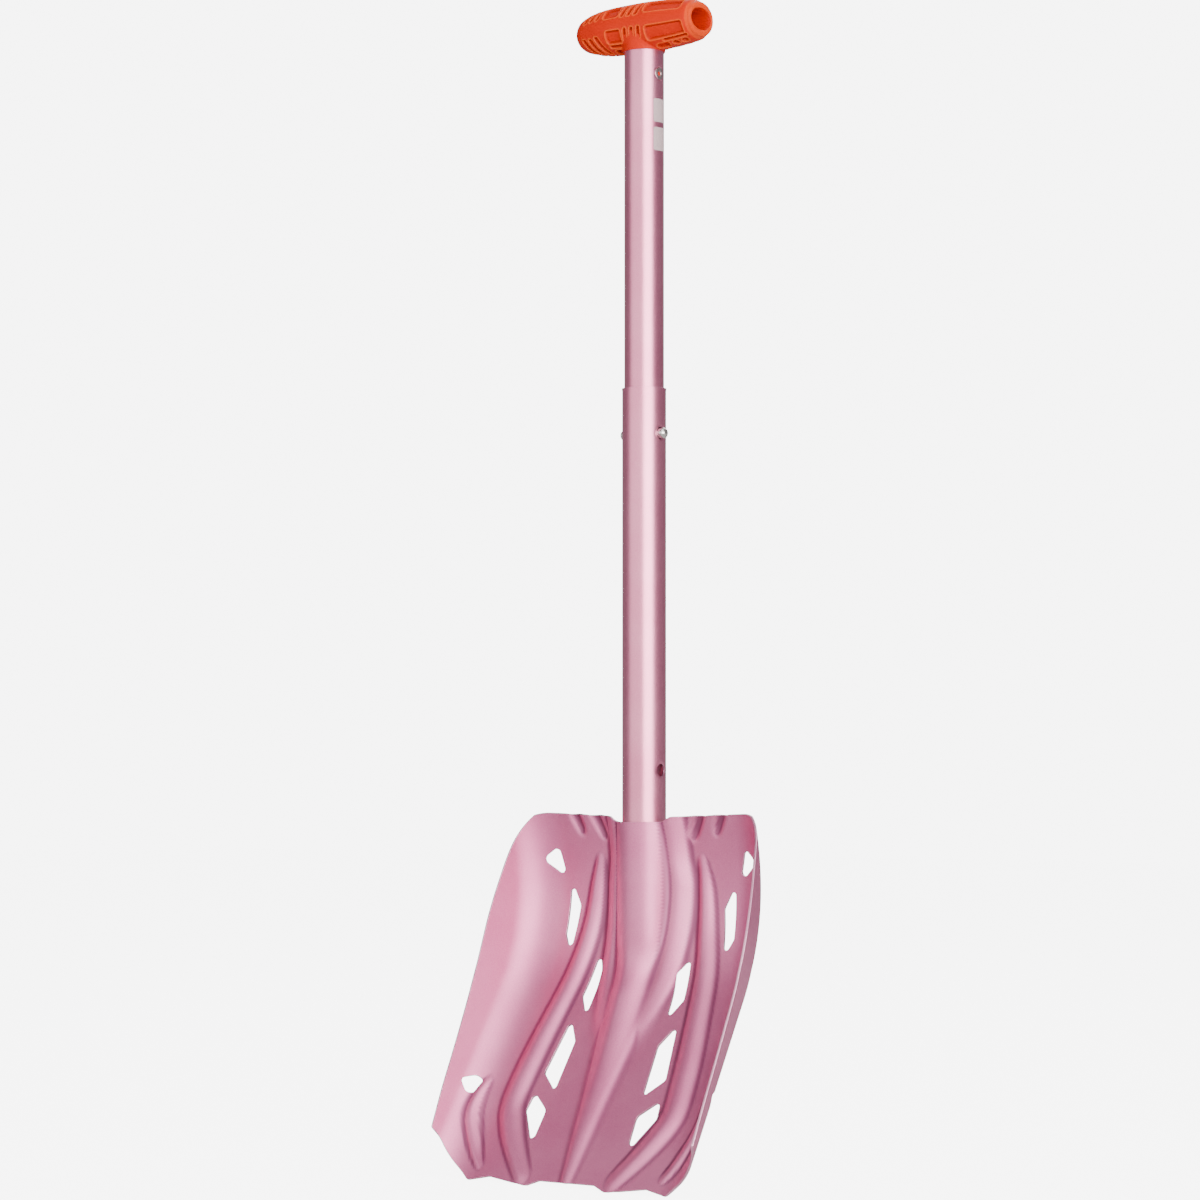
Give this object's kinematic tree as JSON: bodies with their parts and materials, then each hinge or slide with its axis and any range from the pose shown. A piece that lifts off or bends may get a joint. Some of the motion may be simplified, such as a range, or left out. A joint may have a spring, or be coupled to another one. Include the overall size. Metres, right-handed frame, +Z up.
{
  "type": "avalanche shovel",
  "caption": "Telescopic avalanche shovel: pressed aluminium scoop blade with ribs and openings, two-piece snap-lock shaft and a moulded T-grip.",
  "frame": {"origin": "centre of the bounding box's bottom, level with the blade's tip, with the shaft upright", "axes": "+Z up along the shaft to the grip, -Y the way the scoop faces, X across the blade and along the T-grip"},
  "size_m": [0.234, 0.1166, 0.8272],
  "materials": {
    "anodised_blade": "satin bead-blasted and pink anodised",
    "anodised_tube": "satin pink anodised",
    "orange_plastic": "injection moulded, satin",
    "steel": "bright stainless",
    "spring_steel": "blued spring strip",
    "weld": "welded and anodised"
  },
  "bodies": {
    "blade": {"blade": "anodised_blade", "rear_socket_shell": "anodised_blade", "left_weld_stitches": "weld", "right_weld_stitches": "weld"},
    "lower_shaft": {"lower_tube": "anodised_tube", "blade_lock_spring": "spring_steel"},
    "lock_button": {"blade_lock_button": "steel"},
    "upper_shaft": {"upper_tube": "anodised_tube", "telescope_spring": "spring_steel", "grip_body": "orange_plastic", "left_grip_rivet": "steel", "right_grip_rivet": "steel"},
    "left_button": {"left_telescope_button": "steel"},
    "right_button": {"right_telescope_button": "steel"}
  },
  "joints": [
    {"name": "blade_release", "type": "slide", "parent": "blade", "child": "lower_shaft", "axis": [0, 0, 1], "range_m": [0, 0.09], "deforming": ["blade_lock_button"]},
    {"name": "telescope", "type": "slide", "parent": "lower_shaft", "child": "upper_shaft", "axis": [0, 0, 1], "range_m": [-0.2365, 0], "deforming": ["left_telescope_button", "right_telescope_button"]},
    {"name": "lock_button_press", "type": "slide", "parent": "lower_shaft", "child": "lock_button", "axis": [0, -1, 0], "range_m": [0, 0.0055], "stiffness_N_per_m": 1500, "springref_m": -0.002, "deforming": ["blade_lock_spring"]},
    {"name": "left_button_press", "type": "slide", "parent": "upper_shaft", "child": "left_button", "axis": [1, 0, 0], "range_m": [0, 0.006], "stiffness_N_per_m": 1500, "springref_m": -0.002, "deforming": ["telescope_spring"]},
    {"name": "right_button_press", "type": "slide", "parent": "upper_shaft", "child": "right_button", "axis": [-1, 0, 0], "range_m": [0, 0.006], "stiffness_N_per_m": 1500, "springref_m": -0.002}
  ]
}
